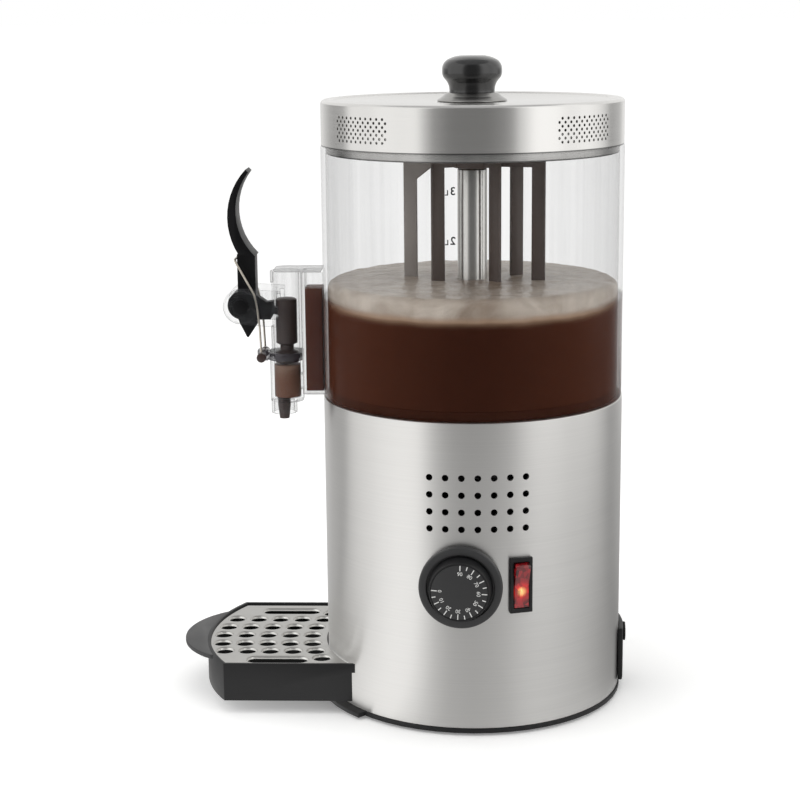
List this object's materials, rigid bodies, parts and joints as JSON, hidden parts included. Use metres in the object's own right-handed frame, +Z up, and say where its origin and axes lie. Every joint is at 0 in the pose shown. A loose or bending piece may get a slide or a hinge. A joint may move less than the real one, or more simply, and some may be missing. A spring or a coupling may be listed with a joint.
{
  "type": "hot chocolate dispenser",
  "caption": "Heated drink dispenser: steel drum base with dial and switch, clear tank with agitator and side tap, steel lid and a removable drip tray.",
  "frame": {"origin": "on the drum's axis at the flat underside of the base plate; the rubber feet reach 1.8 mm lower", "axes": "+Z up along the drum; -Y is the front with the tap and tray; +X is the side with the dial and switch"},
  "size_m": [0.2112, 0.2969, 0.4181],
  "materials": {
    "brushed_stainless": "brushed round the drum",
    "zinc_plated_steel": "plain",
    "cast_aluminium": "as cast",
    "black_moulding": "satin",
    "dark_moulding": "smooth",
    "brown_moulding": "satin",
    "pale_moulding": "satin",
    "red_lens": "clear tinted",
    "clear_moulding": "clear polished",
    "black_rubber": "matte",
    "pale_silicone": "matte",
    "brass": "turned"
  },
  "bodies": {
    "root": {"base_plate": "black_moulding", "foot_1": "black_rubber", "foot_2": "black_rubber", "foot_3": "black_rubber", "foot_4": "black_rubber", "foot_screw_1": "zinc_plated_steel", "foot_screw_2": "zinc_plated_steel", "foot_screw_3": "zinc_plated_steel", "foot_screw_4": "zinc_plated_steel", "body_shell": "brushed_stainless", "support_ring": "zinc_plated_steel", "heating_plate": "brushed_stainless", "tank_seal": "pale_silicone", "heater_ring": "zinc_plated_steel", "thermal_cutout": "pale_moulding", "center_column": "brushed_stainless", "column_nut": "zinc_plated_steel", "shaft_bush": "brass", "gearbox": "cast_aluminium", "motor": "zinc_plated_steel", "motor_bracket": "zinc_plated_steel", "thermostat_body": "pale_moulding", "switch_housing": "black_moulding", "terminal_block": "pale_moulding", "rear_cover": "black_moulding", "cord_gland": "black_rubber"},
    "agitator_drive": {"agitator": "brown_moulding", "drive_shaft": "zinc_plated_steel", "shaft_coupling": "cast_aluminium", "gear_output_shaft": "zinc_plated_steel"},
    "tank_unit": {"tank": "clear_moulding", "tap_body": "clear_moulding", "tap_cap": "clear_moulding", "tap_collar": "clear_moulding", "pivot_pin": "zinc_plated_steel"},
    "lid_unit": {"lid_shell": "brushed_stainless", "lid_inner_ring": "pale_moulding", "lid_boss": "brushed_stainless", "lid_knob": "black_moulding", "lid_screw": "zinc_plated_steel"},
    "lever": {"tap_lever": "black_moulding"},
    "spring": {"tap_spring": "zinc_plated_steel", "spring_bar": "black_moulding"},
    "valve": {"plunger": "dark_moulding", "plunger_seal": "black_rubber"},
    "dial": {"dial_knob": "black_moulding", "dial_stem": "zinc_plated_steel"},
    "rocker": {"switch_rocker": "red_lens"},
    "tray": {"drip_tray": "black_moulding"},
    "grille": {"tray_grille": "brushed_stainless"}
  },
  "joints": [
    {"name": "agitator_spin", "type": "hinge", "parent": "root", "child": "agitator_drive", "pos_m": [0, 0, 0.2], "axis": [0, 0, 1], "continuous": true},
    {"name": "tank_lift", "type": "slide", "parent": "root", "child": "tank_unit", "axis": [0, 0, 1], "range_m": [0, 0.18]},
    {"name": "lid_lift", "type": "slide", "parent": "tank_unit", "child": "lid_unit", "axis": [0, 0, 1], "range_m": [0, 0.08]},
    {"name": "lever_pull", "type": "hinge", "parent": "tank_unit", "child": "lever", "pos_m": [0, -0.1496, 0.258], "axis": [1, 0, 0], "range_deg": [0, 22], "stiffness_Nm_per_rad": 0.3, "springref_deg": -17.19},
    {"name": "spring_swing", "type": "hinge", "parent": "tank_unit", "child": "spring", "pos_m": [0, -0.1373, 0.224], "axis": [1, 0, 0], "range_deg": [0, 10.6]},
    {"name": "plunger_lift", "type": "slide", "parent": "tank_unit", "child": "valve", "axis": [0, 0, 1], "range_m": [0, 0.0102]},
    {"name": "dial_turn", "type": "hinge", "parent": "root", "child": "dial", "pos_m": [0.09802, -0.00737, 0.0966], "axis": [-0.9972, 0.075, 0], "range_deg": [0, 272]},
    {"name": "switch_rock", "type": "hinge", "parent": "root", "child": "rocker", "pos_m": [0.09327, 0.02941, 0.0963], "axis": [0.3007, -0.9537, 0], "range_deg": [0, 16]},
    {"name": "tray_slide", "type": "slide", "parent": "root", "child": "tray", "axis": [0, -1, 0], "range_m": [0, 0.12]},
    {"name": "grille_lift", "type": "slide", "parent": "tray", "child": "grille", "axis": [0, 0, 1], "range_m": [0, 0.03]}
  ],
  "couplings": [
    {"joint": "spring_swing", "follows": "lever_pull", "ratio": 0.475},
    {"joint": "plunger_lift", "follows": "lever_pull", "m_per_rad": 0.02603}
  ]
}
